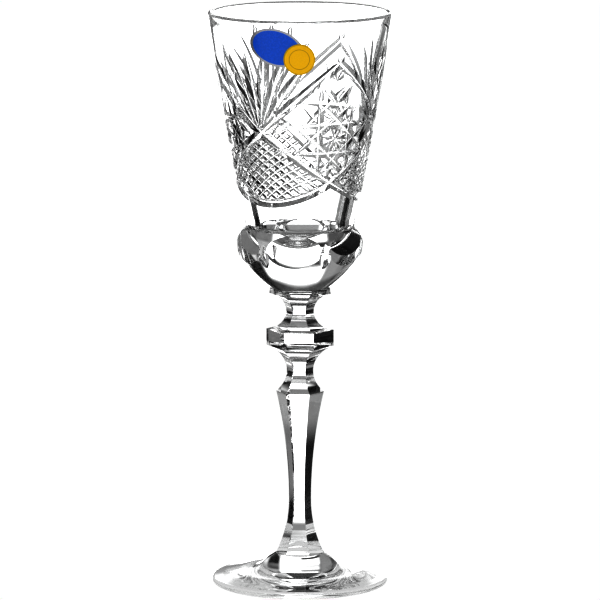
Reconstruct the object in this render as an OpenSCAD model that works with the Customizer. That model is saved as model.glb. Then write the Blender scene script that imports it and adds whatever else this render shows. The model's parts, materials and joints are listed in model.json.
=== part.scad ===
// Sherry glass in cut lead crystal: a bowl with fans, eight-point stars and hobnail fields cut into
// its wall, a six-sided stem with a knop, and a plain round foot. Millimetres, +Z up, the origin at
// the middle of the foot's underside. Angles run from the front (-Y) towards +X.

/* [Foot] */
// Radius of the foot
foot_r = 28.8; // [24:0.2:34]
// Height of the foot's top face, where the stem is joined
foot_h = 9.7; // [8.5:0.1:12]
// Radius of the foot's rounded edge
foot_edge_r = 1.05; // [0.6:0.05:1.4]
// Radius at which the dome under the stem runs out into the shallow top
dome_r = 13.2; // [11:0.2:18]
// Height of that run-out above the table
dome_h = 5.6; // [4.6:0.2:7]
// Depth of the hollow in the underside
kick_h = 1.3; // [0.4:0.1:2.4]
// Width of the flat ring that the foot stands on
ring_w = 3; // [1.5:0.5:6]

/* [Stem] */
// Length of the stem, from the foot to the bowl
stem_h = 88.3; // [85:0.1:100]
// Distance from the axis to a face at the stem's base and at the baluster's shoulder
baluster_a = 6.75; // [6.2:0.05:7.6]
// Distance from the axis to a face at the stem's slimmest place
waist_a = 3.1; // [2.6:0.05:4.2]
// Height of the slimmest place above the foot
waist_h = 17.8; // [13:0.1:23]
// Height of the baluster's shoulder above the foot
shoulder_h = 53.7; // [49:0.1:55]
// Distance from the axis to a face in the neck under the knop
lower_neck_a = 3.7; // [3:0.05:4.6]
// Height of that neck's middle above the foot
lower_neck_h = 60.5; // [59.3:0.1:61.7]
// Radius of the wheel that hollows the lower neck
lower_neck_cut_r = 9; // [8:0.1:10]
// Distance from the axis to a face of the knop
knop_a = 9.5; // [8.4:0.1:10.4]
// Distance from the axis to a face in the neck over the knop
upper_neck_a = 3.84; // [3:0.04:4.6]
// Height of that neck's middle above the foot
upper_neck_h = 80.2; // [79.1:0.1:81.3]
// Radius of the wheel that hollows the upper neck
upper_neck_cut_r = 6; // [5.4:0.1:6.6]
// Distance from the axis to a face at the collar's lower edge
collar_a = 8.67; // [8.4:0.01:9.2]
// Distance from the axis to a face where the stem meets the bowl
joint_a = 8.36; // [7.6:0.04:8.4]
// Turn of the stem's faces about the axis
facet_turn = -6; // [-30:1:30]

/* [Bowl] */
// Height of the bowl, from the stem to the rim
bowl_h = 90; // [86:0.5:96]
// Outer radius at the rim
rim_r = 30; // [28:0.2:32]
// Wall at the rim
rim_wall = 1.8; // [1.4:0.1:2.4]
// Rounding of the rim's two edges
rim_round = 0.6; // [0.3:0.05:0.65]
// How far the side bows out between waist and rim
side_bow = 0.45; // [0:0.05:1]
// Outer radius of the plain waist
bowl_waist_r = 18; // [17:0.1:19]
// Height of the waist above the bowl's base
bowl_waist_h = 21.5; // [20:0.5:23]
// Largest radius of the bulge under the waist
bulge_r = 20.5; // [19.6:0.1:21.4]
// Height of that largest radius above the bowl's base
bulge_h = 14.2; // [13:0.1:15]
// Radius of the bulge's rounding
bulge_round = 7.5; // [6.5:0.1:8.5]
// Depth of the six panels cut into the bulge
panel_depth = 2.1; // [1.6:0.1:2.4]
// Height above the bowl's base of the lower tip of the leaf cut between two panels
leaf_low_h = 8.6; // [8:0.1:9.4]
// Height above the bowl's base of that cut's upper tip
leaf_high_h = 16.8; // [15.6:0.1:18]
// Inner radius at the height of the waist
cavity_r = 13.2; // [11.5:0.1:14]
// Height of the cavity's floor above the bowl's base
floor_h = 13; // [11:0.5:15]

/* [Cut pattern] */
// Number of fans around the bowl, with a star between each two
repeats = 3; // [3]
// Direction of the first fan
fan_turn = -32; // [-60:1:60]
// Height above the bowl's base at which the bands cross and the fan springs
cross_h = 54.5; // [52:0.5:57]
// Number of rays in a fan
fan_rays = 11; // [7:2:11]
// Angle between two rays
fan_step = 7.2; // [6:0.2:8]
// Distance from the crossing at which a ray starts
fan_gap = 1.7; // [1:0.1:4]
// Distance from the crossing at which a ray ends
fan_len = 28; // [24:0.5:30]
// Depth of a ray
fan_depth = 0.8; // [0.5:0.05:0.9]
// Height above the bowl's base at which two bands meet over the star
apex_h = 78.7; // [76:0.1:80]
// Height above the bowl's base of the lowest place of the band under a hobnail field
arc_low_h = 30; // [28.5:0.5:32]
// Width, measured upright, that a band leaves free of hobnail cuts
band_w = 3; // [2:0.2:4]
// Depth of a band
band_depth = 1.1; // [0.6:0.05:1.3]
// Height of the star's middle above the bowl's base
star_h = 52.3; // [50:0.1:54]
// Half width of the star around the bowl
star_half_w = 14.3; // [12:0.1:15]
// Half height of the star
star_half_h = 12.4; // [11:0.1:13]
// Depth of the star's cuts
star_depth = 0.9; // [0.5:0.05:1.1]
// Half width of the leaf cuts beside the star
leaf_half_w = 1.6; // [1:0.1:2]
// Depth of the leaf cuts
leaf_depth = 0.7; // [0.3:0.05:0.9]
// Distance between two hobnail cuts, measured upright
hobnail_pitch = 4.1; // [3.8:0.1:4.6]
// Depth of the hobnail cuts
hobnail_depth = 0.72; // [0.4:0.02:0.8]
// Half of the angle ground on the mitre wheel's edge
mitre_half_angle = 55; // [45:1:58]

/* [Labels] */
// Thickness of a label
label_t = 0.15; // [0.1:0.05:0.3]
// Width of the oval label
oval_w = 17.8; // [14:0.2:20]
// Height of the oval label
oval_h = 12; // [10:0.2:13]
// Tilt of the oval label
oval_tilt = -15; // [-30:1:30]
// Direction of the oval label's middle
oval_turn = -15.5; // [-30:0.5:-10]
// Distance of the oval label's middle below the rim
oval_drop = 8.6; // [8:0.1:12]
// Diameter of the round label
round_d = 10; // [8:0.2:12]
// Direction of the round label's middle
round_turn = -0.4; // [-6:0.2:6]
// Distance of the round label's middle below the rim
round_drop = 12.3; // [8:0.1:16]

/* [Hidden] */

$fn = 48;
sides = 6;
star_points = 8;
star_skip = 3;
// Width of the foot's top face left showing around the stem's corners
stem_seat = 0.15;
// Height of the bowl's base above the table. All heights on the bowl are measured from its base.
bowl_z = foot_h + stem_h;
sector = 360 / repeats;
// Height by which a cutting tool stands out of the glass
lift = 0.6;
// How far a tool reaches past what it cuts
past = 1;
// Largest turn about the axis in one straight step of a cut
step_turn = 15;
// Turn of the uncut bowl's facets, so that their edges don't fall in with the cuts
blank_turn = 6.4;
// Share by which cuts that cross differ in depth, so that their faces never meet in one point
uneven = 0.05;

// Outer radius of the bowl's side at a height, and its slope there
function side_share(z) = (z - bowl_waist_h) / (bowl_h - bowl_waist_h);
function side_r(z) = bowl_waist_r + (rim_r - bowl_waist_r) * side_share(z)
    + 4 * side_bow * side_share(z) * (1 - side_share(z));
function side_slope(z) = (side_r(z + 0.5) - side_r(z - 0.5));

// Radius of the cavity at a height above its rounded floor
function cavity_side_r(z) = cavity_r + (rim_r - rim_wall - cavity_r) * side_share(z);

// A place on the bowl's side at angle a and height z, and the direction square to the glass there
function on_side(a, z) = [side_r(z) * sin(a), -side_r(z) * cos(a), z];
function out_of_side(a, z) = let (n = [sin(a), -cos(a), -side_slope(z)]) n / norm(n);

// Points of an arc about c, from angle a to angle b
function arc(c, r, a, b, n) = [for (i = [0:n]) c + r * [cos(a + (b - a) * i / n), sin(a + (b - a) * i / n)]];

// Straight run of places between two places given as [angle, height]
function run(p, q, n) = [for (i = [0:n]) p + (q - p) * i / n];
function steps_over(turn) = max(3, ceil(abs(turn) / step_turn));

// Degrees around the side that a length takes at a height
function around(length, z) = length / side_r(z) * 180 / PI;

// Height of the band under a fan, a slanting plane's line around the side, at an angle from the
// fan's axis. It is lowest on the axis and passes the next fans where their bands cross.
mean_slope = (side_r(cross_h) - side_r(arc_low_h)) / (cross_h - arc_low_h);
plane_slope = (cross_h - arc_low_h) / (side_r(arc_low_h) - cos(sector) * side_r(cross_h));
plane_mid_h = arc_low_h + plane_slope * side_r(arc_low_h);
function arc_h(a) =
    (plane_mid_h - plane_slope * cos(a) * (side_r(arc_low_h) - mean_slope * arc_low_h))
    / (1 + plane_slope * mean_slope * cos(a));

// Mitre cut along places on the side, with its share of the full depth at each place
module mitre(places, shares, depth) {
    n = len(places) - 1;
    spots = [for (p = places) on_side(p[0], p[1])];
    outs = [for (p = places) out_of_side(p[0], p[1])];
    rings = [for (i = [0:n])
        let (along = spots[min(i + 1, n)] - spots[max(i - 1, 0)],
             across = cross(outs[i], along) / norm(along),
             deep = depth * shares[i],
             half_w = (deep + lift) * tan(mitre_half_angle),
             top = spots[i] + outs[i] * lift)
        [spots[i] - outs[i] * deep, top + across * half_w, top - across * half_w]];
    flanks = [for (i = [0:n - 1], k = [0:2])
        [3 * i + k, 3 * (i + 1) + k, 3 * (i + 1) + (k + 1) % 3, 3 * i + (k + 1) % 3]];
    polyhedron([for (ring = rings) each ring],
        concat([[0, 1, 2]], flanks, [[3 * n + 2, 3 * n + 1, 3 * n]]), convexity = 4);
}

// Cut that runs out at both ends and is deepest at a share of its length
module lens_cut(p, q, depth, peak = 0.5) {
    n = max(1, ceil(abs(q[0] - p[0]) / (2 * step_turn)));
    top = p + (q - p) * peak;
    mitre(concat(run(p, top, n), [for (i = [1:n]) top + (q - top) * i / n]),
        [for (i = [0:2 * n]) 1 - abs(i - n) / n], depth);
}

// Rounded leaf-shaped cut between two places on the side
module leaf_cut(p, q) {
    tip_r = 0.15;
    middle = (p + q) / 2;
    sunk = leaf_half_w - leaf_depth;
    hull() {
        for (end = [p, q]) translate(on_side(end[0], end[1])) sphere(tip_r, $fn = 6);
        translate(on_side(middle[0], middle[1]) + out_of_side(middle[0], middle[1]) * sunk)
            sphere(leaf_half_w, $fn = 12);
    }
}

// Fan of rays that springs from the crossing of the bands
module fan() {
    for (i = [0:fan_rays - 1]) {
        lean = (i - (fan_rays - 1) / 2) * fan_step;
        reach = [around(sin(lean), cross_h + fan_len / 2), cos(lean)];
        lens_cut([0, cross_h] + fan_gap * reach, [0, cross_h] + fan_len * reach, fan_depth, peak = 0.62);
    }
}

// Band under this fan's hobnail field. It is cut in two halves, which start just past the lowest
// place, run up through a crossing and end over the top of the star beyond it. The halves differ in
// depth, and so do every two bands that cross.
module bands() {
    run_out = 2.4;
    rise_n = steps_over(sector / 2);
    arc_n = steps_over(sector);
    slant = [for (i = [-1:arc_n - 1]) let (a = sector * i / arc_n) [a, arc_h(a)]];
    rise = run([sector, cross_h], [1.5 * sector, apex_h], rise_n);
    places = concat(slant, rise, [rise[rise_n] + [run_out, run_out]]);
    last = len(places) - 1;
    for (half = [0, 1]) mirror([half, 0, 0])
        mitre(places, [for (i = [0:last])
            i == last ? 0 : i == 0 ? 1 - 2 * uneven : 1 + uneven * (1 - 2 * half)], band_depth);
}

// A place in the star's panel, in shares of the star's half width and half height
function star_place(x, z) = [around(x * star_half_w, star_h), star_h + z * star_half_h];
function star_point(share, turn) = star_place(share * cos(turn), share * sin(turn));

// Eight-point star with a rayed middle, and the cuts that fill the corners of its panel
module star() {
    step = 360 / star_points;
    middle_share = cos(star_skip * step / 2);
    for (i = [0:star_points - 1]) {
        turn = (i + 0.5) * step;
        depth = star_depth * (1 + uneven * (i % 4));
        lens_cut(star_point(1, turn), star_point(1, turn + star_skip * step), depth);
        lens_cut(star_point(0.04, turn), star_point(0.94 * middle_share, turn), star_depth / 2);
    }
    for (hand = [-1, 1]) {
        depth = star_depth * (1 + uneven * hand);
        lens_cut(star_place(0, 0.97), star_place(hand * 0.33, 1.4), depth);
        lens_cut(star_place(0, -0.77), star_place(hand * 0.33, -1.02), depth);
        for (rise = [-1, 1]) leaf_cut(star_place(hand * 1.42, rise * 0.15), star_place(hand, rise * 0.52));
    }
}

// Hobnail field: two families of cuts, each in step with one of the bands beside the field
function field_edge(a) = arc_h(sector - a) - band_w / 2;
function field_floor(a) = arc_h(a) + band_w / 2;
// Angle between lo and hi at which a line in step with the band and sunk below it by drop leaves
// the field, on the far band's side if it is entering and on the floor if it isn't
function leaves(drop, entering, lo, hi, count = 14) =
    let (mid = (lo + hi) / 2, limit = entering ? field_edge(-mid) : field_floor(mid))
    count == 0 ? mid
    : field_edge(mid) - drop > limit ? leaves(drop, entering, mid, hi, count - 1)
    : leaves(drop, entering, lo, mid, count - 1);
module hobnail() {
    lines = floor((cross_h - arc_low_h) / hobnail_pitch);
    for (j = [1:lines]) {
        drop = j * hobnail_pitch;
        from = leaves(drop, true, -sector / 2, 0);
        to = leaves(drop, false, from, sector / 2);
        n = steps_over(to - from);
        if (to - from > step_turn / 2) for (hand = [0, 1]) mirror([hand, 0, 0])
            mitre([for (i = [0:n]) let (a = from + (to - from) * i / n) [a, field_edge(a) - drop]],
                [for (i = [0:n]) 1 + uneven * hand], hobnail_depth);
    }
}

// Arc of a round wheel's cut, in distance from the axis and height, that is slimmest at slim_a and
// height and runs from a wider place below to a wider one above
function wheel_cut(cut_r, slim_a, height, low_a, high_a, n) =
    arc([slim_a + cut_r, height], cut_r, 180 + acos(1 - (low_a - slim_a) / cut_r),
        180 - acos(1 - (high_a - slim_a) / cut_r), n);
// Radius of the wheel whose cut widens from slim_a to wide_a over a rise
function flank_r(slim_a, wide_a, rise) = (rise * rise + pow(wide_a - slim_a, 2)) / (2 * (wide_a - slim_a));

// Outline of the stem's faces from the foot up: the baluster's two flanks, the neck, the knop
// between the necks, and the collar
stem_outline = concat(
    wheel_cut(flank_r(waist_a, baluster_a, waist_h), waist_a, waist_h, baluster_a, waist_a, 8),
    wheel_cut(flank_r(waist_a, baluster_a, shoulder_h - waist_h), waist_a, waist_h, waist_a, baluster_a, 8),
    wheel_cut(lower_neck_cut_r, lower_neck_a, lower_neck_h, baluster_a, knop_a, 14),
    wheel_cut(upper_neck_cut_r, upper_neck_a, upper_neck_h, knop_a, collar_a, 16),
    [[joint_a, stem_h]]);

// Body of six faces whose distance from the axis follows an outline from the bottom up
module six_faced(outline) {
    n = len(outline);
    corners = [for (p = outline, k = [0:sides - 1]) let (turn = facet_turn + (k + 0.5) * 360 / sides)
        [p[0] / cos(180 / sides) * sin(turn), -p[0] / cos(180 / sides) * cos(turn), p[1]]];
    bottom = [for (k = [0:sides - 1]) k];
    top = [for (k = [sides - 1:-1:0]) (n - 1) * sides + k];
    faces = [for (i = [0:n - 2], k = [0:sides - 1]) let (next = (k + 1) % sides)
        [i * sides + k, (i + 1) * sides + k, (i + 1) * sides + next, i * sides + next]];
    polyhedron(corners, concat([bottom], faces, [top]), convexity = 6);
}

module stem() {
    color("gainsboro") translate([0, 0, foot_h]) six_faced(stem_outline);
}

module foot() {
    top_r = baluster_a / cos(180 / sides) + stem_seat;
    edge_x = foot_r - foot_edge_r;
    ring_in = edge_x - ring_w;
    dome_bow = 0.15;
    color("whitesmoke") rotate_extrude() {
        difference() {
            polygon([[0, 0], [edge_x, 0], [edge_x, 2 * foot_edge_r], [dome_r, dome_h],
                [(dome_r + top_r) / 2 + dome_bow, (dome_h + foot_h) / 2 + dome_bow], [top_r, foot_h], [0, foot_h]]);
            polygon([[0, -past], [ring_in, -past], [ring_in, 0], [0, kick_h]]);
        }
        translate([edge_x, foot_edge_r]) circle(foot_edge_r, $fn = 48);
    }
}

// Middle of the bulge's rounding, and a place on it at a height, in distance from the axis and height
bulge_c = [bulge_r - bulge_round, bulge_h];
function on_bulge(z) = [bulge_c[0] + sqrt(bulge_round * bulge_round - pow(z - bulge_h, 2)), z];

// Outside of the bowl before it is cut: the joint, the bulge's rounding, the waist and the side
module bowl_outline() {
    flare = 45;
    joint_seat = 0.05;
    side_n = 3;
    bulge_n = 9;
    joint_r = joint_a / cos(180 / sides) + joint_seat;
    waist_angle = acos((bowl_waist_r - bulge_c[0]) / bulge_round);
    side_top = bowl_h - rim_round;
    polygon(concat([[0, 0], [joint_r, 0]],
        arc(bulge_c, bulge_round, -flare, waist_angle, bulge_n),
        [for (i = [0:side_n]) let (z = bowl_waist_h + (side_top - bowl_waist_h) * i / side_n) [side_r(z), z]],
        [[rim_r - rim_round, bowl_h], [0, bowl_h]]));
}

// Faces of the six flat panels around the bulge. Over the waist the outline is wide enough to leave
// the side alone.
panel_a = bulge_r - panel_depth;
panel_outline = [[panel_a, -past], [panel_a, bowl_waist_h], [2 * rim_r, bowl_waist_h], [2 * rim_r, bowl_h + past]];

// Leaf-shaped mitre cuts in the ridges between the panels, each along a straight line between its tips
module ridge_leaves() {
    half_angle = 62;
    reach = 4;
    low = on_bulge(leaf_low_h);
    rise = on_bulge(leaf_high_h) - low;
    for (k = [0:sides - 1]) rotate([0, 0, facet_turn + (k + 0.5) * 360 / sides])
        translate([0, -low[0], low[1]]) rotate([atan2(rise[0], rise[1]), 0, 0]) translate([0, 0, -past])
            linear_extrude(norm(rise) + 2 * past)
                polygon([[0, 0], [reach * tan(half_angle), -reach], [-reach * tan(half_angle), -reach]]);
}

// Inside of the bowl: a cone with a rounded floor and a softened rim
module cavity_outline() {
    floor_n = 6;
    lip_r = rim_r - rim_wall;
    polygon(concat([[0, bowl_h + past]],
        [for (i = [0:floor_n]) let (a = 90 * i / floor_n)
            [cavity_r * sin(a), bowl_waist_h - (bowl_waist_h - floor_h) * cos(a)]],
        [[cavity_side_r(bowl_h - rim_round), bowl_h - rim_round], [lip_r + rim_round, bowl_h],
            [lip_r + rim_round, bowl_h + past]]));
}

module bowl() {
    color("white") translate([0, 0, bowl_z]) difference() {
        intersection() {
            rotate([0, 0, blank_turn]) rotate_extrude() bowl_outline();
            six_faced(panel_outline);
        }
        rotate_extrude() cavity_outline();
        ridge_leaves();
        for (i = [0:repeats - 1]) rotate([0, 0, fan_turn + i * sector]) {
            fan();
            bands();
            hobnail();
            rotate([0, 0, sector / 2]) star();
        }
    }
}

// Layer that lies on the bowl's side between two heights and two distances from the glass
module side_layer(low, high, near, far) {
    n = 4;
    heights = [for (i = [0:n]) low + (high - low) * i / n];
    rotate_extrude() polygon(concat([for (z = heights) [side_r(z) + far, z]],
        [for (i = [n:-1:0]) [side_r(heights[i]) + near, heights[i]]]));
}

// Prism of an oval that faces out of the bowl at a direction and height
module oval_prism(turn, z, tilt, w, h) {
    corners = 48;
    rotate([0, 0, turn]) translate([0, 0, z]) rotate([90, 0, 0]) linear_extrude(2 * rim_r) rotate(tilt)
        polygon([for (i = [1:corners]) [w / 2 * cos(i * 360 / corners), h / 2 * sin(i * 360 / corners)]]);
}

module oval_place(grow = 0) {
    oval_prism(oval_turn, bowl_h - oval_drop, oval_tilt, oval_w + grow, oval_h + grow);
}

module round_place() {
    oval_prism(round_turn, bowl_h - round_drop, 0, round_d, round_d);
}

module oval_label() {
    color("royalblue") translate([0, 0, bowl_z]) intersection() {
        side_layer(bowl_h - oval_drop - oval_w, bowl_h - rim_round, 0, label_t);
        oval_place();
    }
}

// Round label: flat on the glass, with a step up over the edge of the oval one
module round_label() {
    lap = 0.6;
    low = bowl_h - round_drop - round_d;
    high = bowl_h - rim_round;
    color("goldenrod") translate([0, 0, bowl_z]) {
        difference() {
            intersection() {
                side_layer(low, high, 0, label_t);
                round_place();
            }
            oval_place();
        }
        intersection() {
            side_layer(low, high, label_t, 2 * label_t);
            round_place();
            oval_place(lap);
        }
    }
}

foot();
stem();
bowl();
oval_label();
round_label();
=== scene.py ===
import json
import math

import bmesh
import bpy
import numpy as np
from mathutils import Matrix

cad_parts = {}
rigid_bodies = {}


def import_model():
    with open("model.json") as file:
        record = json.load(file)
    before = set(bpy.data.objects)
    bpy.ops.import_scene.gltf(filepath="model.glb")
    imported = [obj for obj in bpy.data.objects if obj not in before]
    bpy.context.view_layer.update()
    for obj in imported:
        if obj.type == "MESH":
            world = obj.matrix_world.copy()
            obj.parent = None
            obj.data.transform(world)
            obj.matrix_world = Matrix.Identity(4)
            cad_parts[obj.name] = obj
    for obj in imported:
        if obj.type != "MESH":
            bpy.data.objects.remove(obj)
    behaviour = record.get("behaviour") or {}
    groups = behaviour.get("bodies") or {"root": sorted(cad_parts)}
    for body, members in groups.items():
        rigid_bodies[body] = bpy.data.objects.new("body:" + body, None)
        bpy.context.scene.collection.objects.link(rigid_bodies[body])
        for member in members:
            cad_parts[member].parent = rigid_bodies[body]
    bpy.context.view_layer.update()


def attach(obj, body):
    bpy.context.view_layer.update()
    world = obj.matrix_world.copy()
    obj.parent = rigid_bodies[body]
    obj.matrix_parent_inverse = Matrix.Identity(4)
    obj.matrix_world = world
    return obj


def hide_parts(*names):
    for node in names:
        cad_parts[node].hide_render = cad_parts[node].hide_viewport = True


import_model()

bl_info = {
    "name": "Cut crystal sherry glass",
    "version": (1, 0, 0),
    "blender": (4, 5, 0),
    "location": "View3D > Sidebar > Sherry Glass",
    "description": "Dresses the packed sherry glass: cut bowl, six-sided stem, foot, labels and studio",
    "category": "Object",
}


# Properties

def length(name, description, default):
    return bpy.props.FloatProperty(
        name=name, description=description, default=default, min=0.0, unit="LENGTH", precision=5)


def angle(name, description, degrees):
    return bpy.props.FloatProperty(
        name=name, description=description, default=math.radians(degrees), subtype="ANGLE")


def colour(name, description, default):
    return bpy.props.FloatVectorProperty(
        name=name, description=description, default=default, size=3, min=0.0, max=1.0, subtype="COLOR")


def level(name, description, default, least=0.0):
    return bpy.props.FloatProperty(name=name, description=description, default=default, min=least)


def count(name, description, default, least):
    return bpy.props.IntProperty(name=name, description=description, default=default, min=least)


class FootSizes(bpy.types.PropertyGroup):
    """Sizes of the foot"""
    radius: length("Radius", "Radius of the foot", 0.0288)
    height: length("Height", "Height of the top face, where the stem is joined", 0.0097)
    edge_round: length("Edge", "Radius of the rounded edge", 0.00105)
    dome_radius: length("Dome radius", "Radius at which the dome runs out into the shallow top", 0.0132)
    dome_height: length("Dome height", "Height of that run-out above the table", 0.0056)
    hollow: length("Hollow", "Depth of the hollow in the underside", 0.0013)
    ring: length("Ring", "Width of the flat ring that the foot stands on", 0.003)
    seat: length("Seat", "Width of the top face that shows around the stem's corners", 0.00015)
    dome_bow: length("Dome bow", "How far the dome bows out", 0.00015)


class StemSizes(bpy.types.PropertyGroup):
    """Sizes of the stem, as distances from the axis to a face and heights above the foot"""
    height: length("Height", "Length of the stem", 0.0883)
    baluster: length("Baluster", "Distance of a face at the base and at the shoulder", 0.00675)
    waist: length("Waist", "Distance of a face at the slimmest place", 0.0031)
    waist_height: length("Waist height", "Height of the slimmest place", 0.0178)
    shoulder_height: length("Shoulder height", "Height of the baluster's shoulder", 0.0537)
    lower_neck: length("Lower neck", "Distance of a face in the neck under the knop", 0.0037)
    lower_neck_height: length("Lower neck height", "Height of that neck's middle", 0.0605)
    lower_neck_wheel: length("Lower wheel", "Radius of the wheel that hollows the lower neck", 0.009)
    knop: length("Knop", "Distance of a face of the knop", 0.0095)
    upper_neck: length("Upper neck", "Distance of a face in the neck over the knop", 0.00384)
    upper_neck_height: length("Upper neck height", "Height of that neck's middle", 0.0802)
    upper_neck_wheel: length("Upper wheel", "Radius of the wheel that hollows the upper neck", 0.006)
    collar: length("Collar", "Distance of a face at the collar's lower edge", 0.00867)
    joint: length("Joint", "Distance of a face where the stem meets the bowl", 0.00836)
    sides: count("Faces", "Number of faces around the stem", 6, 3)
    turn: angle("Turn", "Turn of the faces about the axis", -6)


class BowlSizes(bpy.types.PropertyGroup):
    """Sizes of the bowl before it is cut, with heights above the bowl's base"""
    height: length("Height", "Height from the stem to the rim", 0.090)
    rim_radius: length("Rim radius", "Outer radius at the rim", 0.030)
    rim_wall: length("Rim wall", "Wall at the rim", 0.0018)
    rim_round: length("Rim rounding", "Rounding of the rim's two edges", 0.00085)
    side_bow: length("Side bow", "How far the side bows out between waist and rim", 0.00045)
    waist_radius: length("Waist radius", "Outer radius of the plain waist", 0.018)
    waist_height: length("Waist height", "Height of the waist", 0.0215)
    bulge_radius: length("Bulge radius", "Largest radius of the bulge", 0.0205)
    bulge_height: length("Bulge height", "Height of that largest radius", 0.0142)
    bulge_round: length("Bulge rounding", "Radius of the bulge's rounding", 0.0075)
    flare_reach: length("Flare reach", "How far the bulge runs on before it turns in to the joint", 0.006)
    panel_depth: length("Panel depth", "Depth of the six flat panels cut into the bulge", 0.0021)
    joint_seat: length("Joint seat", "Width of the base that shows around the stem's corners", 0.00005)
    cavity_radius: length("Cavity radius", "Inner radius at the height of the waist", 0.0132)
    floor_height: length("Floor height", "Height of the cavity's floor", 0.013)


class CutSizes(bpy.types.PropertyGroup):
    """Sizes of the cut pattern, with heights above the bowl's base"""
    repeats: count("Repeats", "Number of fans around the bowl", 3, 1)
    fan_turn: angle("Fan turn", "Direction of the first fan from the front", -32)
    fan_rays: count("Fan rays", "Number of rays in a fan", 6, 3)
    fan_step: angle("Fan step", "Angle between two rays", 14.4)
    fan_gap: length("Fan gap", "Distance from the crossing at which a ray starts", 0.0017)
    fan_length: length("Fan length", "Distance from the crossing at which a ray ends", 0.028)
    fan_depth: length("Fan depth", "Depth of a ray", 0.0013)
    cross_height: length("Crossing", "Height at which the bands cross", 0.0529)
    apex: length("Top", "Height at which the two halves of a band meet over a star", 0.0758)
    arc_low: length("Band low", "Lowest height of the band under a hobnail field", 0.030)
    band_width: length("Band width", "Upright distance between a band's two edges", 0.003)
    band_depth: length("Band depth", "Depth of a band's cut", 0.0011)
    star_height: length("Star height", "Height of the star's middle", 0.0511)
    star_half_width: length("Star half width", "Half width of the star", 0.0143)
    star_half_height: length("Star half height", "Half height of the star", 0.0124)
    star_depth: length("Star depth", "Depth of the star's cuts", 0.001)
    leaf_depth: length("Leaf depth", "Depth of the leaf cuts beside a star", 0.0006)
    hobnail_pitch: length("Hobnail pitch", "Upright distance between two hobnail cuts", 0.0028)
    hobnail_depth: length("Hobnail depth", "Depth of the hobnail cuts", 0.0005)
    wheel: angle("Wheel", "Half of the angle ground on the mitre wheel's edge", 55)
    leaf_wheel: angle("Leaf wheel", "Half angle of the leaf cuts", 66)
    ridge_low: length("Ridge leaf low", "Height of the lower tip of the leaf between two panels", 0.0086)
    ridge_high: length("Ridge leaf high", "Height of the upper tip of that leaf", 0.0168)
    ridge_wheel: angle("Ridge wheel", "Half angle of that leaf's cut", 62)


class LabelSizes(bpy.types.PropertyGroup):
    """Sizes and colours of the two labels"""
    thickness: length("Thickness", "Thickness of a label", 0.00015)
    oval_width: length("Oval width", "Width of the oval label", 0.0178)
    oval_height: length("Oval height", "Height of the oval label", 0.012)
    oval_tilt: angle("Oval tilt", "Tilt of the oval label", -15)
    oval_turn: angle("Oval direction", "Direction of the oval label's middle", -15.5)
    oval_drop: length("Oval drop", "Distance of the oval label's middle below the rim", 0.0086)
    round_width: length("Round width", "Diameter of the round label", 0.010)
    round_turn: angle("Round direction", "Direction of the round label's middle", -0.4)
    round_drop: length("Round drop", "Distance of the round label's middle below the rim", 0.0123)
    blue: colour("Blue", "Colour of the oval label", (0.012, 0.19, 0.78))
    border: colour("Border", "Colour of the oval label's border", (0.42, 0.42, 0.44))
    gold: colour("Gold", "Colour of the round label", (0.92, 0.62, 0.004))


class StudioLook(bpy.types.PropertyGroup):
    """Light and camera of the studio"""
    glow: level("Glow", "Strength of the cards that light the glass", 0.83)
    gloom: level("Gloom", "Light between the cards", 0.02)
    white: level("White", "Brightness of the floor and backdrop", 1.02)
    soft: level("Soft light", "Soft light that falls on the labels", 0.9)
    # The shade colour is a painted shadow: a contact shadow under the foot, painted into the floor, which only
    # the glass sees
    shade: colour("Shade", "Colour of the floor under the foot, as the glass sees it", (0.84, 0.84, 0.84))
    shade_radius: length("Shade radius", "How far that part of the floor reaches", 0.0285)
    contrast: level("Contrast", "Gamma of the picture", 0.48, 0.1)
    camera_distance: length("Camera distance", "How far the camera stands in front of the glass", 1.662)
    camera_height: length("Camera height", "How high the camera stands", 0.3746)
    camera_tilt: angle("Camera tilt", "How far the camera looks down", 9.6)
    lens: level("Lens", "Focal length in millimetres", 310.6, 1.0)


# Nodes

class Wire:
    """One socket of a node tree. Arithmetic on wires adds Math nodes to the tree."""

    def __init__(self, tree, socket=None):
        self.tree, self.socket = tree, socket

    def node(self, kind, settings=None, inputs=None, out=0):
        """Adds a node, makes its settings, fills its inputs by name or number and returns one output."""
        made = self.tree.nodes.new(kind)
        for name, value in (settings or {}).items():
            setattr(made, name, value)
        for name, value in (inputs or {}).items():
            for one in value if isinstance(value, list) else [value]:
                if isinstance(one, Wire):
                    self.tree.links.new(one.socket, made.inputs[name])
                else:
                    made.inputs[name].default_value = one
        return Wire(self.tree, made.outputs[out] if len(made.outputs) else None)

    def other(self, out):
        """Another output of the node that this wire leaves"""
        return Wire(self.tree, self.socket.node.outputs[out])

    def math(self, operation, *values):
        return self.node("ShaderNodeMath", {"operation": operation}, dict(enumerate(values)))

    def mix(self, low, high):
        """Blend of two colours by this value"""
        return self.node("ShaderNodeMix", {"data_type": "RGBA", "clamp_factor": True},
                         {0: self, 6: low, 7: high}, 2)

    def step(self, low, high):
        """Smooth step of this value from 0 at low to 1 at high"""
        return self.node("ShaderNodeMapRange", {"interpolation_type": "SMOOTHSTEP"},
                         {"Value": self, "From Min": low, "From Max": high})

    def __add__(self, other): return self.math("ADD", self, other)
    def __radd__(self, other): return self.math("ADD", other, self)
    def __sub__(self, other): return self.math("SUBTRACT", self, other)
    def __rsub__(self, other): return self.math("SUBTRACT", other, self)
    def __mul__(self, other): return self.math("MULTIPLY", self, other)
    def __rmul__(self, other): return self.math("MULTIPLY", other, self)
    def __truediv__(self, other): return self.math("DIVIDE", self, other)
    def __rtruediv__(self, other): return self.math("DIVIDE", other, self)


def new_finish(name):
    """Empty material and the wire that its nodes hang on"""
    material = bpy.data.materials.new(name)
    material.use_nodes = True
    material.node_tree.nodes.clear()
    return material, Wire(material.node_tree)


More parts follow.
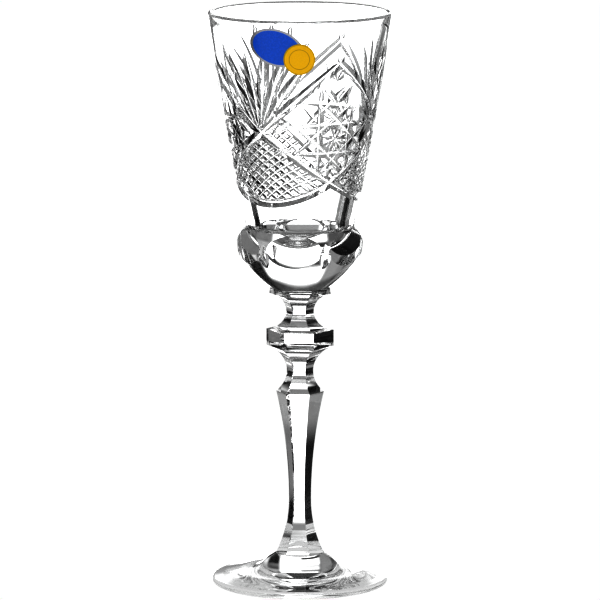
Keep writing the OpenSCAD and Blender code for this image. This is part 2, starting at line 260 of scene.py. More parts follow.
def crystal(name):
    """Polished lead crystal, with faint waves from the cutter's wheel and a breath of haze"""
    material, tree = new_finish(name)
    place = tree.node("ShaderNodeTexCoord", out="Object")
    haze = tree.node("ShaderNodeTexNoise", {}, {"Vector": place, "Scale": 260.0, "Detail": 3.0})
    waves = tree.node("ShaderNodeTexNoise", {}, {"Vector": place, "Scale": 140.0, "Detail": 1.0})
    tint = haze.mix((0.985, 0.99, 0.992, 1.0), (1.0, 1.0, 1.0, 1.0))
    bump = tree.node("ShaderNodeBump", {}, {"Strength": 0.004, "Distance": 0.0002, "Height": waves})
    shader = tree.node("ShaderNodeBsdfPrincipled", {}, {
        "Base Color": tint, "Roughness": haze.step(0.55, 0.9) * 0.012, "Normal": bump,
        "IOR": 1.55, "Transmission Weight": 1.0})
    tree.node("ShaderNodeOutputMaterial", {}, {"Surface": shader})
    return material


def fused_joint(name):
    """Face where two pieces of hot glass were melted together, which light passes straight"""
    material, tree = new_finish(name)
    clear = tree.node("ShaderNodeBsdfTransparent")
    tree.node("ShaderNodeOutputMaterial", {}, {"Surface": clear})
    return material


# Meshes

# Points around the axis of a turned piece
SEGMENTS = 192


def mesh_piece(name, points, faces):
    """Object of a closed mesh with its faces turned outwards"""
    mesh = bpy.data.meshes.new(name)
    mesh.from_pydata([tuple(map(float, p)) for p in points], [], faces)
    shell = bmesh.new()
    shell.from_mesh(mesh)
    bmesh.ops.recalc_face_normals(shell, faces=shell.faces)
    shell.to_mesh(mesh)
    shell.free()
    return bpy.data.objects.new(name, mesh)


def arc(centre, radius, start, end, steps):
    """Points of an arc, in distance from the axis and height"""
    return [(centre[0] + radius * math.cos(t), centre[1] + radius * math.sin(t))
            for t in np.linspace(start, end, steps + 1)]


def turned(outline, steps):
    """Points and faces of an outline turned about the axis, from a point on the axis to another"""
    points, rows, faces = [], [], []
    for distance, height in outline:
        if distance < 1e-9:
            rows.append([len(points)])
            points.append((0.0, 0.0, height))
        else:
            rows.append(range(len(points), len(points) + steps))
            points += [(distance * math.sin(t), -distance * math.cos(t), height)
                       for t in np.linspace(0, 2 * math.pi, steps, endpoint=False)]
    for low, high in zip(rows, rows[1:]):
        for i in range(steps):
            j = (i + 1) % steps
            corners = [low[i % len(low)], low[j % len(low)], high[j % len(high)], high[i % len(high)]]
            faces.append(list(dict.fromkeys(corners)))
    return points, faces


def faceted(outline, sides, turn):
    """Points and faces of a body of flat sides whose distance from the axis follows an outline"""
    points, faces = [], []
    for distance, height in outline:
        corner = distance / math.cos(math.pi / sides)
        for k in range(sides):
            t = turn + (k + 0.5) * 2 * math.pi / sides
            points.append((corner * math.sin(t), -corner * math.cos(t), height))
    for i in range(len(outline) - 1):
        for k in range(sides):
            j = (k + 1) % sides
            faces.append([i * sides + k, i * sides + j, (i + 1) * sides + j, (i + 1) * sides + k])
    last = (len(outline) - 1) * sides
    faces += [list(range(sides))[::-1], list(range(last, last + sides))]
    return points, faces


def seat(points, faces, rim, distance, sides, turn, height):
    """Closes a round opening with a flat ring and, inside it, the outline of the stem"""
    first, step = len(points), 2 * math.pi / sides
    corner = distance / math.cos(math.pi / sides)
    for k in range(sides):
        t = turn + (k + 0.5) * step
        points.append((corner * math.sin(t), -corner * math.cos(t), height))
    nearest = [first + int((2 * math.pi * i / len(rim) - turn) // step) % sides for i in range(len(rim))]
    for i in range(len(rim)):
        j = (i + 1) % len(rim)
        faces.append([rim[i], rim[j], nearest[i]])
        if nearest[i] != nearest[j]:
            faces.append([rim[j], nearest[j], nearest[i]])
    faces.append(list(range(first, first + sides)))


def wheel_cut(wheel, slim, height, low, high, steps):
    """Arc of a wheel's cut that is slimmest at a height and runs from a wider place below to one above"""
    return arc((slim + wheel, height), wheel, math.pi + math.acos(1 - (low - slim) / wheel),
               math.pi - math.acos(1 - (high - slim) / wheel), steps)


def flank_wheel(slim, wide, rise):
    """Radius of the wheel whose cut widens from slim to wide over a rise"""
    return (rise * rise + (wide - slim) ** 2) / (2 * (wide - slim))


class Side:
    """The bowl's side, with directions from the front and heights above the bowl's base"""

    def __init__(self, bowl, base):
        self.bowl, self.base = bowl, base

    def share(self, height):
        return (height - self.bowl.waist_height) / (self.bowl.height - self.bowl.waist_height)

    def radius(self, height):
        s, b = self.share(height), self.bowl
        return b.waist_radius + (b.rim_radius - b.waist_radius) * s + 4 * b.side_bow * s * (1 - s)

    def inner_radius(self, height):
        b = self.bowl
        return b.cavity_radius + (b.rim_radius - b.rim_wall - b.cavity_radius) * self.share(height)

    def slope(self, height):
        reach = 0.0005
        return (self.radius(height + reach) - self.radius(height - reach)) / (2 * reach)

    def spot(self, place, out=0.0):
        turn, height = place
        radius = self.radius(height)
        foot = np.array((radius * math.sin(turn), -radius * math.cos(turn), height + self.base))
        return foot + out * self.normal(place)

    def normal(self, place):
        turn, height = place
        n = np.array((math.sin(turn), -math.cos(turn), -self.slope(height)))
        return n / np.linalg.norm(n)


# Outlines of a mitre cut and of a hollow cut after polishing, as shares of half width and depth
MITRE = [(-0.3, 0.7), (-0.2, 0.78), (-0.1, 0.835), (0.0, 0.85), (0.1, 0.835), (0.2, 0.78), (0.3, 0.7)]
HOLLOW = [(-0.94, 0.2), (-0.72, 0.55), (-0.38, 0.87), (0.0, 1.0), (0.38, 0.87), (0.72, 0.55), (0.94, 0.2)]

# Depth at which a cut has run out, how far a tool stands out of the glass, and the share by which
# cuts that cross differ in depth, so that no two edges fall together
RUN_OUT = 1e-5
LIFT = 0.0006
APART = 0.02


class Cutter:
    """Makes the cutting tools of the pattern as hidden pieces of one collection"""

    def __init__(self, side, cuts):
        self.side, self.cuts = side, cuts
        self.tools = bpy.data.collections.new("cutting_tools")

    def sweep(self, places, depths, profile=MITRE, wheel=None, lift=LIFT):
        """Tool swept along places on the side, sunk by a depth at each"""
        flare = math.tan(wheel or self.cuts.wheel)
        spots = [self.side.spot(p) for p in places]
        points, faces = [], []
        count, last = len(profile) + 2, len(places) - 1
        for i, place in enumerate(places):
            out = self.side.normal(place)
            along = spots[min(i + 1, last)] - spots[max(i - 1, 0)]
            across = np.cross(out, along) / np.linalg.norm(along)
            ring = [spots[i] + across * x * depths[i] * flare - out * y * depths[i] for x, y in profile]
            top = spots[i] + out * lift
            wide = across * (depths[i] + lift) * flare
            points += ring + [top + wide, top - wide]
        for i in range(last):
            for k in range(count):
                j = (k + 1) % count
                faces.append([i * count + k, i * count + j, (i + 1) * count + j, (i + 1) * count + k])
        faces += [list(range(count))[::-1], list(range(last * count, (last + 1) * count))]
        self.tools.objects.link(mesh_piece("tool", points, faces))

    def lens(self, start, end, depth, peak=0.5, **options):
        """Tool that runs out at both ends, as a wheel does that is lowered onto the glass"""
        shares = [*np.linspace(0, peak, 9), *np.linspace(peak, 1, 9)[1:]]
        places = [tuple(np.array(start) + (np.array(end) - np.array(start)) * t) for t in shares]
        bows = [1 - ((t - peak) / (peak if t < peak else 1 - peak)) ** 2 for t in shares]
        self.sweep(places, [max(depth * b, RUN_OUT) for b in bows], **options)

    def fan(self, deepest=0.62):
        """Rays that spring from a crossing of the bands"""
        c = self.cuts
        foot, radius = np.array((0.0, c.cross_height)), self.side.radius(c.cross_height + c.fan_length / 2)
        for i in range(c.fan_rays):
            lean = (i - (c.fan_rays - 1) / 2) * c.fan_step
            reach = np.array((math.sin(lean) / radius, math.cos(lean)))
            self.lens(foot + c.fan_gap * reach, foot + c.fan_length * reach, c.fan_depth, deepest)

    def band_height(self, turn):
        """Height of the band under a fan, the line of a slanting plane around the side"""
        c, radius = self.cuts, self.side.radius
        sector = 2 * math.pi / c.repeats
        low_r, cross_r = radius(c.arc_low), radius(c.cross_height)
        mean = (cross_r - low_r) / (c.cross_height - c.arc_low)
        slant = (c.cross_height - c.arc_low) / (low_r - math.cos(sector) * cross_r)
        middle = c.arc_low + slant * low_r
        swing = math.cos(turn)
        return (middle - slant * swing * (low_r - mean * c.arc_low)) / (1 + slant * mean * swing)

    def bands(self):
        """A band in two halves, each from just past its lowest place to a star's top"""
        c, sector = self.cuts, 2 * math.pi / self.cuts.repeats
        slant = [(t, self.band_height(t)) for t in np.linspace(-sector / 8, sector, 55)[:-1]]
        rise = [(sector * (1 + 0.5 * t), c.cross_height + (c.apex - c.cross_height) * t)
                for t in np.linspace(0, 1, 25)]
        past_turn, past_height = math.radians(2.4), 0.0024
        over = (rise[-1][0] + past_turn, rise[-1][1] + past_height)
        for half in (-1, 1):
            places = [(half * t, h) for t, h in [*slant, *rise, over]]
            depths = [c.band_depth * (1 + APART * half)] * (len(places) - 1) + [RUN_OUT]
            depths[0] = c.band_depth * 0.9
            self.sweep(places, depths)

    def star(self, points=8, skip=3):
        """A star with its rayed middle and the leaves around it, at shares of its half width and half height"""
        c, step, turn = self.cuts, 2 * math.pi / points, math.pi / self.cuts.repeats
        radius = self.side.radius(c.star_height)
        def place(x, y):
            return (x * c.star_half_width / radius + turn, c.star_height + y * c.star_half_height)
        def corner(share, t):
            return place(share * math.cos(t), share * math.sin(t))
        for i in range(points):
            t = (i + 0.5) * step
            self.lens(corner(1, t), corner(1, t + skip * step), c.star_depth * (1 + 0.04 * (i % 4)))
            self.lens(corner(0.04, t), corner(0.36, t), c.star_depth / 2 * (1 + 0.03 * (i % 2)))
        for hand in (-1, 1):
            depth = c.star_depth * (1 + 0.04 * hand)
            self.lens(place(0, 0.97), place(hand * 0.33, 1.4), depth)
            self.lens(place(0, -0.77), place(hand * 0.33, -1.02), depth)
            for rise in (-1, 1):
                self.lens(place(hand * 1.42, rise * 0.15), place(hand, rise * 0.52), c.leaf_depth,
                          profile=HOLLOW, wheel=c.leaf_wheel, lift=0.0004)

    def hobnail(self, least=math.radians(3), stride=math.radians(2.5), halvings=24):
        """Two crossing sets of cuts between the bands, each the upper band's line moved down"""
        c, sector = self.cuts, 2 * math.pi / self.cuts.repeats
        def edge(t):
            return self.band_height(sector - t) - c.band_width / 2
        def floor(t):
            return self.band_height(t) + c.band_width / 2
        def leaves(drop, entering, low, high):
            for _ in range(halvings):
                mid = (low + high) / 2
                if edge(mid) - drop > (edge(-mid) if entering else floor(mid)):
                    low = mid
                else:
                    high = mid
            return mid
        for j in range(1, int((c.cross_height - c.arc_low) / c.hobnail_pitch) + 1):
            drop = j * c.hobnail_pitch
            start = leaves(drop, True, -sector / 2, 0)
            end = leaves(drop, False, start, sector / 2)
            if end - start < least:
                continue
            steps = max(3, int((end - start) / stride))
            for hand in (-1, 1):
                places = [(-hand * t, edge(t) - drop) for t in np.linspace(start, end, steps + 1)]
                self.sweep(places, [c.hobnail_depth * (1 + APART * hand)] * len(places))

    def ridge_leaves(self, turns, reach=0.004, past=1e-4):
        """Straight mitre cuts across the bulge, each along a chord of its outline"""
        b, c = self.side.bowl, self.cuts
        chord = []
        for h in (c.ridge_low, c.ridge_high):
            bow = math.sqrt(b.bulge_round**2 - (h - b.bulge_height)**2)
            chord.append((b.bulge_radius - b.bulge_round + bow, h))
        for turn in turns:
            across = np.array((math.cos(turn), math.sin(turn), 0.0))
            tips = [np.array((r * math.sin(turn), -r * math.cos(turn), h + self.side.base)) for r, h in chord]
            along = (tips[1] - tips[0]) / np.linalg.norm(tips[1] - tips[0])
            out = reach * np.cross(across, along)
            wide = reach * math.tan(c.ridge_wheel) * across
            ends = (tips[0] - along * past, tips[1] + along * past)
            points = [p + v for p in ends for v in (0 * out, out + wide, out - wide)]
            faces = [[0, 1, 2], [3, 4, 5], [0, 1, 4, 3], [1, 2, 5, 4], [2, 0, 3, 5]]
            self.tools.objects.link(mesh_piece("tool", points, faces))


def cut_tree():
    """Geometry nodes that grind the panels, turn the tools around the axis and cut the pattern"""
    tree = bpy.data.node_groups.new("Cut bowl", "GeometryNodeTree")
    face = tree.interface
    ids = {}
    kinds = {"Blank": "Geometry", "Panels": "Object", "Tools": "Collection", "Repeats": "Int",
             "First direction": "Float", "Sharp edge": "Float", "Crystal": "Material"}
    for name, kind in kinds.items():
        ids[name] = face.new_socket(name, in_out="INPUT", socket_type="NodeSocket" + kind).identifier
    face.new_socket("Bowl", in_out="OUTPUT", socket_type="NodeSocketGeometry")
    wire = Wire(tree)
    value = wire.node("NodeGroupInput").other
    panels = wire.node("GeometryNodeObjectInfo", {}, {"Object": value("Panels")}, "Geometry")
    ground = wire.node("GeometryNodeMeshBoolean", {"operation": "INTERSECT", "solver": "MANIFOLD"},
                       {"Mesh 2": [value("Blank"), panels]})
    tools = wire.node("GeometryNodeCollectionInfo", {},
                      {"Collection": value("Tools"), "Separate Children": True})
    spots = wire.node("GeometryNodePoints", {}, {"Count": value("Repeats")})
    index = wire.node("GeometryNodeInputIndex")
    turn = value("First direction") + index * (2 * math.pi) / value("Repeats")
    turns = wire.node("ShaderNodeCombineXYZ", {}, {"Z": turn})
    turning = wire.node("FunctionNodeEulerToRotation", {}, {0: turns})
    around = wire.node("GeometryNodeInstanceOnPoints", {},
                       {"Points": spots, "Instance": tools, "Rotation": turning})
    apart = wire.node("GeometryNodeRealizeInstances", {},
                      {"Geometry": around, "Realize All": False, "Depth": 1})
    cut = wire.node("GeometryNodeMeshBoolean", {"operation": "DIFFERENCE", "solver": "MANIFOLD"},
                    {"Mesh 1": ground, "Mesh 2": apart})
    bend = wire.node("GeometryNodeInputMeshEdgeAngle")
    sharp = wire.node("FunctionNodeCompare", {"data_type": "FLOAT", "operation": "LESS_EQUAL"},
                      {0: bend, 1: value("Sharp edge")})
    smooth = wire.node("GeometryNodeSetShadeSmooth", {"domain": "FACE"},
                       {"Geometry": cut, "Shade Smooth": True})
    creased = wire.node("GeometryNodeSetShadeSmooth", {"domain": "EDGE"},
                        {"Geometry": smooth, "Shade Smooth": sharp})
    real = wire.node("GeometryNodeRealizeInstances", {}, {"Geometry": creased})
    done = wire.node("GeometryNodeSetMaterial", {}, {"Geometry": real, "Material": value("Crystal")})
    wire.node("NodeGroupOutput", {}, {"Bowl": done})
    return tree, ids


def plain_mesh(source, name):
    """New object with the evaluated mesh of another, which is removed"""
    graph = bpy.context.evaluated_depsgraph_get()
    mesh = bpy.data.meshes.new_from_object(source.evaluated_get(graph))
    mesh.name = name
    bpy.data.objects.remove(source)
    piece = bpy.data.objects.new(name, mesh)
    bpy.context.scene.collection.objects.link(piece)
    if not len(mesh.polygons):
        raise RuntimeError(name + " came out empty")
    return piece


def dress(piece, node, slot, *materials):
    """Puts materials on a piece, lets it ride on the body and stand for its CAD node"""
    piece.data.materials.clear()
    for material in materials:
        piece.data.materials.append(material)
    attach(piece, "root")
    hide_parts(node)


def join_faces(piece, stem, seats):
    """Gives the flat faces inside the stem's outline at a hot joint the second material"""
    step = 2 * math.pi / stem.sides
    normals = [(math.sin(stem.turn + k * step), -math.cos(stem.turn + k * step)) for k in range(stem.sides)]
    for polygon in piece.data.polygons:
        x, y, z = polygon.center
        for height, distance in seats:
            if abs(z - height) < 1e-6 and abs(polygon.normal.z) > 0.99:
                if all(x * u + y * v < distance for u, v in normals):
                    polygon.material_index = 1


def sharpen(mesh, limit):
    """Smooth shading with sharp edges where faces meet at more than a limit"""
    mesh.shade_smooth()
    mesh.set_sharp_from_angle(angle=limit)


# Operators

class SHERRY_OT_foot(bpy.types.Operator):
    """Turn the foot and its dome"""
    bl_idname = "sherry.foot"
    bl_label = "Foot"

    def execute(self, context):
        f, s = context.scene.sherry_foot, context.scene.sherry_stem
        corner = s.baluster / math.cos(math.pi / s.sides)
        top, edge = corner + f.seat, f.radius - f.edge_round
        ring = edge - f.ring
        under = [(ring * t, f.hollow * (1 - t * t) ** 1.2) for t in np.linspace(0, 1, 12)]
        run_out, drop = 0.0075, 0.0019
        knots = np.array([(edge, 2 * f.edge_round),
                          (f.dome_radius + run_out, f.dome_height - drop),
                          (f.dome_radius, f.dome_height),
                          ((f.dome_radius + top) / 2 + f.dome_bow,
                           (f.dome_height + f.height) / 2 + f.dome_bow),
                          (top, f.height)])
        slopes = np.gradient(knots[:, 1], knots[:, 0])
        over = []
        for (x0, y0), (x1, y1), m0, m1 in zip(knots, knots[1:], slopes, slopes[1:]):
            for t in np.linspace(0, 1, 10)[:-1]:
                h = x1 - x0
                over.append((x0 + h * t, (2 * t**3 - 3 * t**2 + 1) * y0 + (t**3 - 2 * t**2 + t) * h * m0
                             + (3 * t**2 - 2 * t**3) * y1 + (t**3 - t**2) * h * m1))
        round_edge = arc((edge, f.edge_round), f.edge_round, -math.pi / 2, math.pi / 2, 14)
        outline = [*under, *round_edge, *over[1:], (top, f.height)]
        points, faces = turned(outline, SEGMENTS)
        rim = list(range(len(points) - SEGMENTS, len(points)))
        seat(points, faces, rim, s.baluster, s.sides, s.turn, f.height)
        piece = mesh_piece("foot_glass", points, faces)
        context.scene.collection.objects.link(piece)
        sharpen(piece.data, math.radians(30))
        dress(piece, "foot", "foot_glass", crystal("crystal_foot"), fused_joint("fused_foot"))
        join_faces(piece, s, [(f.height, s.baluster)])
        return {"FINISHED"}


class SHERRY_OT_stem(bpy.types.Operator):
    """Cut the six faces of the stem with its knop and collar"""
    bl_idname = "sherry.stem"
    bl_label = "Stem"

    def execute(self, context):
        f, s = context.scene.sherry_foot, context.scene.sherry_stem
        below = flank_wheel(s.waist, s.baluster, s.waist_height)
        above = flank_wheel(s.waist, s.baluster, s.shoulder_height - s.waist_height)
        outline = [
            *wheel_cut(below, s.waist, s.waist_height, s.baluster, s.waist, 24)[:-1],
            *wheel_cut(above, s.waist, s.waist_height, s.waist, s.baluster, 24),
            *wheel_cut(s.lower_neck_wheel, s.lower_neck, s.lower_neck_height, s.baluster, s.knop, 32),
            *wheel_cut(s.upper_neck_wheel, s.upper_neck, s.upper_neck_height, s.knop, s.collar, 32),
            (s.joint, s.height)]
        outline = [(a, h + f.height) for a, h in outline]
        piece = mesh_piece("stem_glass", *faceted(outline, s.sides, s.turn))
        context.scene.collection.objects.link(piece)
        sharpen(piece.data, math.radians(18))
        dress(piece, "stem", "stem_glass", crystal("crystal_stem"), fused_joint("fused_stem"))
        join_faces(piece, s, [(f.height, s.baluster), (f.height + s.height, s.joint)])
        return {"FINISHED"}


class SHERRY_OT_bowl(bpy.types.Operator):
    """Turn the bowl, grind its panels and cut the pattern into its side"""
    bl_idname = "sherry.bowl"
    bl_label = "Bowl"

    def execute(self, context):
        scene = context.scene
        f, s, b, c = scene.sherry_foot, scene.sherry_stem, scene.sherry_bowl, scene.sherry_cuts
        base = f.height + s.height
        side = Side(b, base)
        points, faces = turned([(r, h + base) for r, h in self.outline(b, s, side)], SEGMENTS)
        seat(points, faces, list(range(SEGMENTS)), s.joint, s.sides, s.turn, base)
        blank = mesh_piece("bowl_blank", points, faces)
        scene.collection.objects.link(blank)
        panel, clear, past = b.bulge_radius - b.panel_depth, 2 * b.rim_radius, 0.001
        block = [(panel, -past), (panel, b.waist_height), (clear, b.waist_height), (clear, b.height + past)]
        panels = mesh_piece("bowl_panels", *faceted([(a, h + base) for a, h in block], s.sides, s.turn))
        scene.collection.objects.link(panels)
        cutter = Cutter(side, c)
        cutter.fan()
        cutter.bands()
        cutter.hobnail()
        cutter.star()
        cutter.ridge_leaves([s.turn - c.fan_turn + (k + 0.5) * 2 * math.pi / s.sides
                             for k in range(s.sides // c.repeats)])
        glass = crystal("crystal_bowl")
        tree, ids = cut_tree()
        made = blank.modifiers.new("cut", "NODES")
        made.node_group = tree
        values = {"Panels": panels, "Tools": cutter.tools, "Repeats": c.repeats, "First direction": c.fan_turn,
                  "Sharp edge": math.radians(16), "Crystal": glass}
        for name, value in values.items():
            made[ids[name]] = value
        context.view_layer.update()
        piece = plain_mesh(blank, "bowl_glass")
        for tool in [panels, *cutter.tools.objects]:
            bpy.data.objects.remove(tool)
        bpy.data.collections.remove(cutter.tools)
        dress(piece, "bowl", "bowl_glass", glass, fused_joint("fused_bowl"))
        join_faces(piece, s, [(base, s.joint)])
        return {"FINISHED"}

    def outline(self, b, s, side):
        """Outline of the uncut bowl, up its outside, over the rim and down into the cavity"""
        flare = math.radians(30)
        centre = (b.bulge_radius - b.bulge_round, b.bulge_height)
        joint = s.joint / math.cos(math.pi / s.sides) + b.joint_seat
        waist = math.acos((b.waist_radius - centre[0]) / b.bulge_round)
        top = b.height - b.rim_round
        inner = b.rim_radius - b.rim_wall
        depth = b.waist_height - b.floor_height
        start = np.array(centre) + b.bulge_round * np.array((math.cos(flare), -math.sin(flare)))
        bend = start - b.flare_reach * np.array((math.sin(flare), math.cos(flare)))
        return [
            *[tuple((1 - t)**2 * np.array((joint, 0)) + 2 * t * (1 - t) * bend + t * t * start)
              for t in np.linspace(0, 1, 17)[:-1]],
            *arc(centre, b.bulge_round, -flare, waist, 28),
            *[(side.radius(h), h) for h in np.linspace(b.waist_height, top, 40)],
            *arc((side.radius(top) - b.rim_round, top), b.rim_round, 0, math.pi / 2, 6)[1:],
            *arc((inner + b.rim_round, top), b.rim_round, math.pi / 2, math.pi, 6),
            *[(side.inner_radius(h), h) for h in np.linspace(top, b.waist_height, 40)[1:-1]],
            *[(b.cavity_radius * math.cos(t), b.waist_height - depth * math.sin(t))
              for t in np.linspace(0, math.pi / 2, 24)[:-1]],
            (0, b.floor_height)]


class SHERRY_OT_labels(bpy.types.Operator):
    """Stick the oval label and the round label on the plain band under the rim"""
    bl_idname = "sherry.labels"
    bl_label = "Labels"

    def execute(self, context):
        scene = context.scene
        l, b = scene.sherry_labels, scene.sherry_bowl
        side = Side(b, scene.sherry_foot.height + scene.sherry_stem.height)
        oval = (l.oval_turn, b.height - l.oval_drop, l.oval_tilt, l.oval_width / 2, l.oval_height / 2)
        disc = (l.round_turn, b.height - l.round_drop, 0.0, l.round_width / 2, l.round_width / 2)
        step_run = 0.0006
        def over_oval(place):
            x, y = self.on_label(side, oval, place)
            gap = (math.hypot(x, y) - 1) * l.oval_height / 2
            return (1 - min(max(gap / step_run, 0), 1)) * l.thickness
        blue = self.patch("oval_label", side, oval, lambda place: 0.0, l.thickness)
        gold = self.patch("round_label", side, disc, over_oval, l.thickness)
        for piece, node, slot, finish in ((blue, "oval_label", "blue_foil", self.blue_foil(l)),
                                          (gold, "round_label", "gold_foil", self.gold_foil(l))):
            scene.collection.objects.link(piece)
            sharpen(piece.data, math.radians(40))
            dress(piece, node, slot, finish)
        return {"FINISHED"}

    def on_label(self, side, shape, place):
        """Place on the side as shares of a label's half width and half height"""
        turn, height, tilt, half_width, half_height = shape
        x = side.radius(place[1]) * math.sin(place[0] - turn)
        y = place[1] - height
        return ((x * math.cos(tilt) + y * math.sin(tilt)) / half_width,
                (y * math.cos(tilt) - x * math.sin(tilt)) / half_height)

    def patch(self, name, side, shape, lift, thickness, rings=24, steps=96):
        """Thin sheet of an oval outline that lies on the side, with a map from -1 to 1 on both faces"""
        turn, height, tilt, half_width, half_height = shape
        spots, shares = [], [(0.0, 0.0)]
        for i in range(1, rings + 1):
            shares += [(i / rings * math.cos(t), i / rings * math.sin(t))
                       for t in np.linspace(0, 2 * math.pi, steps, endpoint=False)]
        for u, v in shares:
            x, y = u * half_width, v * half_height
            level = height + x * math.sin(tilt) + y * math.cos(tilt)
            across = x * math.cos(tilt) - y * math.sin(tilt)
            spots.append((turn + math.asin(across / side.radius(level)), level))
        points = [side.spot(p, lift(p) + 0.1 * thickness) for p in spots]
        points += [side.spot(p, lift(p) + 0.95 * thickness) for p in spots]
        half, faces = len(spots), []
        def ring(i):
            return [1 + i * steps + k for k in range(steps)]
        for base in (0, half):
            for k in range(steps):
                faces.append([base, base + ring(0)[k], base + ring(0)[(k + 1) % steps]])
            for i in range(rings - 1):
                for k in range(steps):
                    j = (k + 1) % steps
                    corners = (ring(i)[k], ring(i + 1)[k], ring(i + 1)[j], ring(i)[j])
                    faces.append([base + corner for corner in corners])
        edge = ring(rings - 1)
        for k in range(steps):
            j = (k + 1) % steps
            faces.append([edge[k], edge[j], half + edge[j], half + edge[k]])
        piece = mesh_piece(name, points, faces)
        layer = piece.data.uv_layers.new(name="print")
        for loop in piece.data.loops:
            layer.data[loop.index].uv = shares[loop.vertex_index % half]
        return piece

    def print_map(self, tree):
        """Distance from the label's middle, 1 at its edge"""
        spot = tree.node("ShaderNodeUVMap", {"uv_map": "print"})
        return tree.node("ShaderNodeVectorMath", {"operation": "LENGTH"}, {0: spot}, "Value")

    def blue_foil(self, l):
        """Glossy blue print with a pale metal border"""
        material, tree = new_finish("blue_foil")
        away = self.print_map(tree)
        place = tree.node("ShaderNodeTexCoord", out="Object")
        grain = tree.node("ShaderNodeTexNoise", {}, {"Vector": place, "Scale": 1500.0, "Detail": 2.0})
        border = away.step(0.88, 0.9)
        blue = grain.mix((*(0.8 * v for v in l.blue), 1.0), (*l.blue, 1.0))
        shader = tree.node("ShaderNodeBsdfPrincipled", {}, {
            "Base Color": border.mix(blue, (*l.border, 1.0)), "Roughness": 0.22 + grain * 0.1,
            "Metallic": border * 0.6, "Coat Weight": 0.3})
        tree.node("ShaderNodeOutputMaterial", {}, {"Surface": shader})
        return material

    def gold_foil(self, l):
        """Gold print with two thin darker rings"""
        material, tree = new_finish("gold_foil")
        away = self.print_map(tree)
        place = tree.node("ShaderNodeTexCoord", out="Object")
        grain = tree.node("ShaderNodeTexNoise", {}, {"Vector": place, "Scale": 2600.0, "Detail": 3.0})
        def ring(inner, outer, soft=0.015):
            return away.step(inner, inner + soft) * (1 - away.step(outer, outer + soft))
        rings = ring(0.62, 0.65) + ring(0.93, 0.96)
        gold = grain.mix((*(0.86 * v for v in l.gold), 1.0), (*l.gold, 1.0))
        shader = tree.node("ShaderNodeBsdfPrincipled", {}, {
            "Base Color": rings.mix(gold, (*(0.45 * v for v in l.gold), 1.0)),
            "Roughness": 0.34 + grain * 0.12, "Metallic": 0.25 - rings * 0.2})
        tree.node("ShaderNodeOutputMaterial", {}, {"Surface": shader})
        return material


# Cards around the glass, where a later one covers an earlier one: left, right, low and high edge in
# degrees from straight behind the glass, the width of the soft edge, and the share of the glow
CARDS = {
    "table_deep": (-185, 185, -95, -40, 5, 0.35),
    "right_far": (75, 110, -40, 25, 5, 0.9),
    "front_near_left": (-185, -150, -25, 25, 6, 0.8),
    "front_near_right": (150, 185, -25, 25, 6, 0.8),
    "backdrop_low": (-20, 20, -25, -12, 3, 3.0),
    "backdrop": (-20, 20, -12, 0, 3, 3.0),
    "flag_high": (-20, 0, 0, 12, 3, 0.15),
    "backdrop_high": (0, 20, 0, 12, 3, 3.0),
    "backdrop_over": (-20, 20, 12, 25, 3, 2.3),
    "backdrop_top": (-40, 20, 25, 65, 5, 0.2),
    "table_behind": (-20, 20, -40, -25, 3, 0.55),
    "left_low": (-40, -20, -25, -12, 3, 2.9),
    "left_near": (-40, -20, -12, 0, 3, 0.35),
    "left_near_high": (-40, -20, 0, 25, 3, 0.6),
    "left_high": (-80, -40, 0, 25, 4, 0.26),
    "left_mid": (-60, -40, 0, 12, 3, 0.62),
    "front_left": (-162, -80, -12, 12, 10, 1.6),
    "table_front_left": (-185, -120, -60, -12, 5, 1.85),
    "right_near": (20, 40, -25, 0, 3, 0.55),
    "right_low": (40, 60, -12, 0, 3, 0.55),
    "right_high": (20, 80, 0, 12, 3, 0.8),
    "right_over": (40, 80, 12, 25, 4, 1.3),
    "table_right": (20, 40, -40, -25, 3, 2.1),
    "front_right": (100, 162, -25, 45, 10, 0.5),
    "table_front_right": (120, 185, -60, -12, 5, 1.85),
}


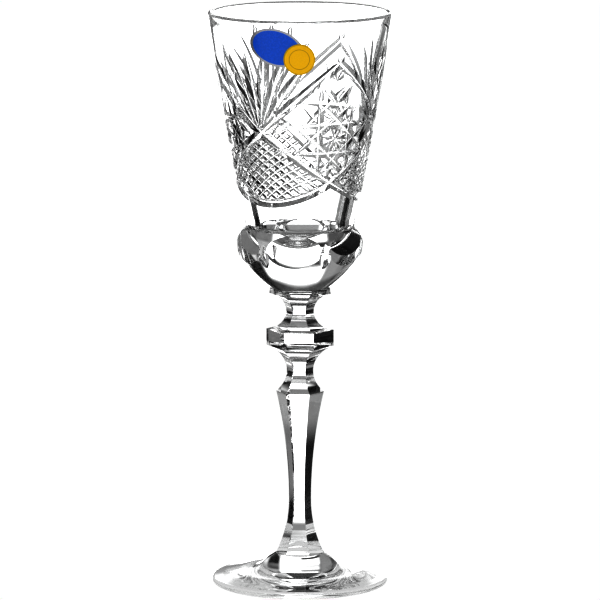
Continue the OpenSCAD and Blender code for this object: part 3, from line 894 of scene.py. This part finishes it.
class SHERRY_OT_stage(bpy.types.Operator):
    """Lay the pale floor with a painted shadow under the foot, light the studio and set up the camera"""
    bl_idname = "sherry.stage"
    bl_label = "Studio"

    def execute(self, context):
        scene, look = context.scene, context.scene.sherry_studio
        half, fade = 2.0, 0.004
        floor = mesh_piece("floor", [(-half, -half, 0), (half, -half, 0), (half, half, 0),
                                     (-half, half, 0)], [[0, 1, 2, 3]])
        material, tree = new_finish("pale_floor_painted_shadow")
        place = tree.node("ShaderNodeTexCoord", out="Object")
        grain = tree.node("ShaderNodeTexNoise", {}, {"Vector": place, "Scale": 90.0, "Detail": 2.0})
        pale = grain.mix((1.0, 1.0, 1.0, 1.0), (0.99, 0.99, 0.99, 1.0))
        away = tree.node("ShaderNodeVectorMath", {"operation": "LENGTH"}, {0: place}, "Value")
        seen = tree.node("ShaderNodeLightPath", out="Is Camera Ray")
        # Painted shadow: rays from the glass see the floor only within the shade radius, in the shade colour,
        # while the camera sees the whole floor evenly pale
        shown = seen.math("MAXIMUM", seen, 1 - away.step(look.shade_radius, look.shade_radius + fade))
        pale_and_painted_shadow = seen.mix((*look.shade, 1.0), pale)
        glow = tree.node("ShaderNodeEmission", {}, {"Color": pale_and_painted_shadow, "Strength": look.white})
        clear = tree.node("ShaderNodeBsdfTransparent")
        surface = tree.node("ShaderNodeMixShader", {}, {0: shown, 1: clear, 2: glow})
        tree.node("ShaderNodeOutputMaterial", {}, {"Surface": surface})
        floor.data.materials.append(material)
        scene.collection.objects.link(floor)
        self.surroundings(scene, look)
        camera = bpy.data.cameras.new("camera")
        camera.lens, camera.sensor_width, camera.clip_end = look.lens, 36.0, 50.0
        stand = bpy.data.objects.new("camera", camera)
        stand.location = (0.0, -look.camera_distance, look.camera_height)
        stand.rotation_euler = (math.pi / 2 - look.camera_tilt, 0.0, 0.0)
        scene.collection.objects.link(stand)
        scene.camera = stand
        scene.view_settings.view_transform = "Standard"
        scene.view_settings.gamma = look.contrast
        scene.cycles.max_bounces = 48
        scene.cycles.transmission_bounces = 48
        scene.cycles.glossy_bounces = 24
        scene.cycles.transparent_max_bounces = 32
        return {"FINISHED"}

    def surroundings(self, scene, look):
        """Cards of light with gloom between them, which the cuts pick up, and even light elsewhere"""
        world = bpy.data.worlds.new("studio")
        world.use_nodes = True
        world.node_tree.nodes.clear()
        tree = Wire(world.node_tree)
        way = tree.node("ShaderNodeTexCoord", out="Generated")
        x = tree.node("ShaderNodeSeparateXYZ", {}, {0: way})
        y, z = x.other("Y"), x.other("Z")
        turn = tree.math("ARCTAN2", x, y) * (180 / math.pi)
        rise = tree.math("ARCSINE", z) * (180 / math.pi)
        light = look.gloom
        for left, right, low, high, soft, share in CARDS.values():
            card = (turn.step(left - soft, left + soft) * (1 - turn.step(right - soft, right + soft))
                    * rise.step(low - soft, low + soft) * (1 - rise.step(high - soft, high + soft)))
            light = light + (look.glow * share - light) * card
        seen = tree.node("ShaderNodeLightPath", out="Is Camera Ray")
        light = light + (look.white - light) * seen + (look.soft - light) * seen.other("Is Diffuse Ray")
        glow = tree.node("ShaderNodeBackground", {}, {"Color": (1, 1, 1, 1), "Strength": light})
        tree.node("ShaderNodeOutputWorld", {}, {"Surface": glow})
        scene.world = world


class SHERRY_PT_panel(bpy.types.Panel):
    """Sizes and steps of the sherry glass"""
    bl_idname = "SHERRY_PT_panel"
    bl_label = "Sherry Glass"
    bl_space_type = "VIEW_3D"
    bl_region_type = "UI"
    bl_category = "Sherry Glass"

    def draw(self, context):
        for group, (kind, operator) in GROUPS.items():
            box = self.layout.box()
            owner = getattr(context.scene, group)
            for name in kind.__annotations__:
                box.prop(owner, name)
            if operator:
                box.operator(operator)


GROUPS = {
    "sherry_foot": (FootSizes, "sherry.foot"),
    "sherry_stem": (StemSizes, "sherry.stem"),
    "sherry_bowl": (BowlSizes, "sherry.bowl"),
    "sherry_cuts": (CutSizes, None),
    "sherry_labels": (LabelSizes, "sherry.labels"),
    "sherry_studio": (StudioLook, "sherry.stage"),
}
CLASSES = (*(kind for kind, _ in GROUPS.values()), SHERRY_OT_foot, SHERRY_OT_stem, SHERRY_OT_bowl,
           SHERRY_OT_labels, SHERRY_OT_stage, SHERRY_PT_panel)


def register():
    for kind in CLASSES:
        bpy.utils.register_class(kind)
    for group, (kind, _) in GROUPS.items():
        setattr(bpy.types.Scene, group, bpy.props.PointerProperty(type=kind))


def unregister():
    for group in GROUPS:
        delattr(bpy.types.Scene, group)
    for kind in reversed(CLASSES):
        bpy.utils.unregister_class(kind)


def main():
    register()
    bpy.ops.sherry.foot()
    bpy.ops.sherry.stem()
    bpy.ops.sherry.bowl()
    bpy.ops.sherry.labels()
    bpy.ops.sherry.stage()


if __name__ == "__main__":
    main()
